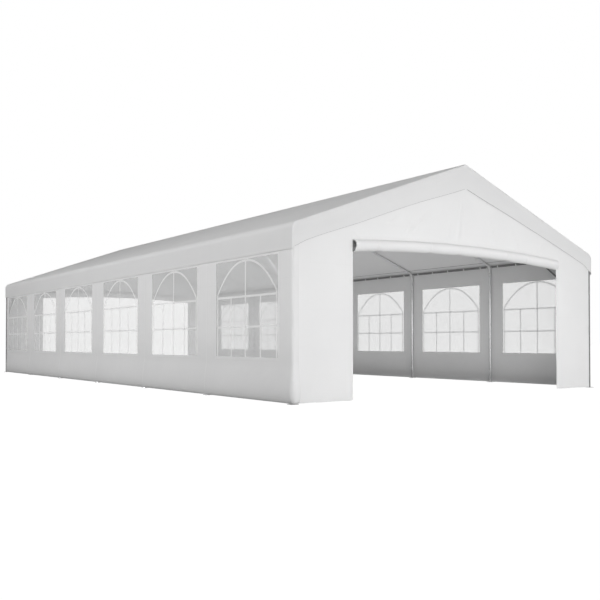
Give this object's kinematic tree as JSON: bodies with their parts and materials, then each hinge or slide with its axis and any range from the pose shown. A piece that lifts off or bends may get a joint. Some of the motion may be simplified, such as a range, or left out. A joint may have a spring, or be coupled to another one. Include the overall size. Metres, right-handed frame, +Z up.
{
  "type": "marquee tent",
  "caption": "Long white event marquee: tube portal frames, pitched roof cover with valance, side walls with arched clear windows, open gables with rolled-up doors.",
  "frame": {"origin": "on the ground, at the middle of the tent's length and width", "axes": "+Z up, +Y along the tent from the front gable to the back gable, +X from the left wall to the right wall"},
  "size_m": [5.9124, 12.1876, 3.1663],
  "materials": {
    "frame_tube": "light grey coated steel tube, satin",
    "roof_cloth": "white coated tarpaulin with a fine weave",
    "wall_cloth": "white coated tarpaulin with a fine weave",
    "gable_cloth": "white coated tarpaulin with light creases",
    "door_cloth": "white coated tarpaulin, rolled up and tied",
    "window_film": "clear flexible film with printed white glazing bars"
  },
  "bodies": {
    "root": {"leg_left_1": "frame_tube", "leg_left_2": "frame_tube", "leg_left_3": "frame_tube", "leg_left_4": "frame_tube", "leg_left_5": "frame_tube", "leg_left_6": "frame_tube", "leg_left_7": "frame_tube", "leg_right_1": "frame_tube", "leg_right_2": "frame_tube", "leg_right_3": "frame_tube", "leg_right_4": "frame_tube", "leg_right_5": "frame_tube", "leg_right_6": "frame_tube", "leg_right_7": "frame_tube", "rafter_left_1": "frame_tube", "rafter_left_2": "frame_tube", "rafter_left_3": "frame_tube", "rafter_left_4": "frame_tube", "rafter_left_5": "frame_tube", "rafter_left_6": "frame_tube", "rafter_left_7": "frame_tube", "rafter_right_1": "frame_tube", "rafter_right_2": "frame_tube", "rafter_right_3": "frame_tube", "rafter_right_4": "frame_tube", "rafter_right_5": "frame_tube", "rafter_right_6": "frame_tube", "rafter_right_7": "frame_tube", "ridge_pole": "frame_tube", "eave_pole_left": "frame_tube", "eave_pole_right": "frame_tube", "corner_brace_front_left": "frame_tube", "corner_brace_front_right": "frame_tube", "corner_brace_back_left": "frame_tube", "corner_brace_back_right": "frame_tube", "roof_cover": "roof_cloth", "left_wall": "wall_cloth", "right_wall": "wall_cloth", "front_gable_wall": "gable_cloth", "back_gable_wall": "gable_cloth", "front_rolled_door": "door_cloth", "back_rolled_door": "door_cloth", "window_left_1": "window_film", "window_left_2": "window_film", "window_left_3": "window_film", "window_left_4": "window_film", "window_left_5": "window_film", "window_left_6": "window_film", "window_right_1": "window_film", "window_right_2": "window_film", "window_right_3": "window_film", "window_right_4": "window_film", "window_right_5": "window_film", "window_right_6": "window_film"}
  },
  "joints": []
}
